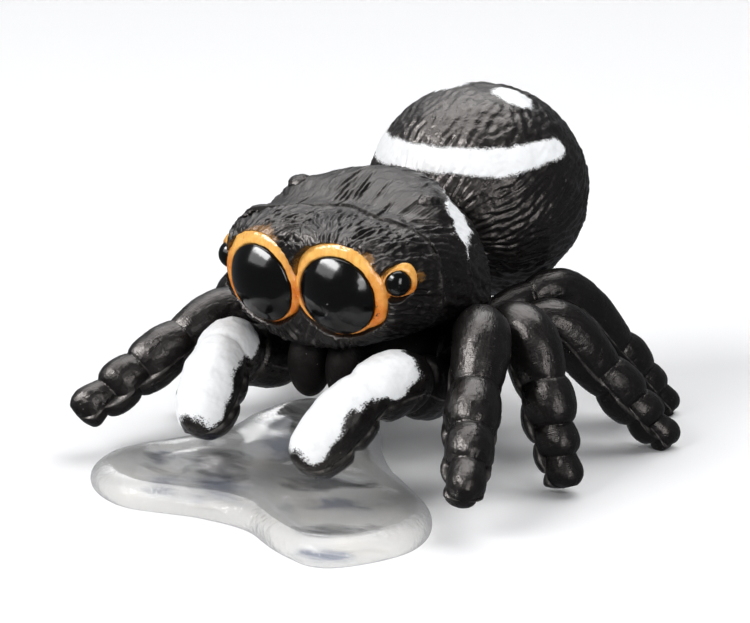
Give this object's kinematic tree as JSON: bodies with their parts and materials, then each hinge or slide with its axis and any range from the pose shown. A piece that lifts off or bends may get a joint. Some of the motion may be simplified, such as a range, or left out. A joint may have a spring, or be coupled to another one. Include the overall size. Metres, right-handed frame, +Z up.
{
  "type": "jumping spider toy figure",
  "caption": "Jumping spider toy figure in black soft plastic with painted orange eye rims and white markings, crouching with its palps over a clear lobed display base.",
  "frame": {"origin": "centre of the whole outline's underside, on the surface that the figure stands on", "axes": "+Z up; the spider faces -Y; its left side is +X"},
  "size_m": [0.0512, 0.0654, 0.0364],
  "materials": {
    "black_pvc": "satin moulded",
    "eye_black": "gloss painted",
    "orange_paint": "satin painted",
    "white_paint": "satin painted",
    "clear_plastic": "clear glossy moulded"
  },
  "bodies": {
    "root": {"eye_ame_left": "eye_black", "eye_ame_right": "eye_black", "eye_ale_left": "eye_black", "eye_ale_right": "eye_black", "eye_ple_left": "eye_black", "eye_ple_right": "eye_black", "eye_pme_left": "eye_black", "eye_pme_right": "eye_black", "eye_rims": "orange_paint", "face": "black_pvc", "carapace": "black_pvc", "sternum": "black_pvc", "chelicera_left": "black_pvc", "chelicera_right": "black_pvc", "pedicel": "black_pvc", "abdomen": "black_pvc", "spinnerets": "black_pvc", "leg_1_left_femur": "black_pvc", "leg_1_left_lower": "black_pvc", "leg_2_left_femur": "black_pvc", "leg_2_left_lower": "black_pvc", "leg_3_left_femur": "black_pvc", "leg_3_left_lower": "black_pvc", "leg_4_left_femur": "black_pvc", "leg_4_left_lower": "black_pvc", "leg_1_right_femur": "black_pvc", "leg_1_right_lower": "black_pvc", "leg_2_right_femur": "black_pvc", "leg_2_right_lower": "black_pvc", "leg_3_right_femur": "black_pvc", "leg_3_right_lower": "black_pvc", "leg_4_right_femur": "black_pvc", "leg_4_right_lower": "black_pvc", "palp_left_femur": "black_pvc", "palp_left_tibia": "black_pvc", "palp_left_tarsus": "white_paint", "palp_right_femur": "black_pvc", "palp_right_tibia": "black_pvc", "palp_right_tarsus": "white_paint", "stand_base": "clear_plastic"}
  },
  "joints": []
}
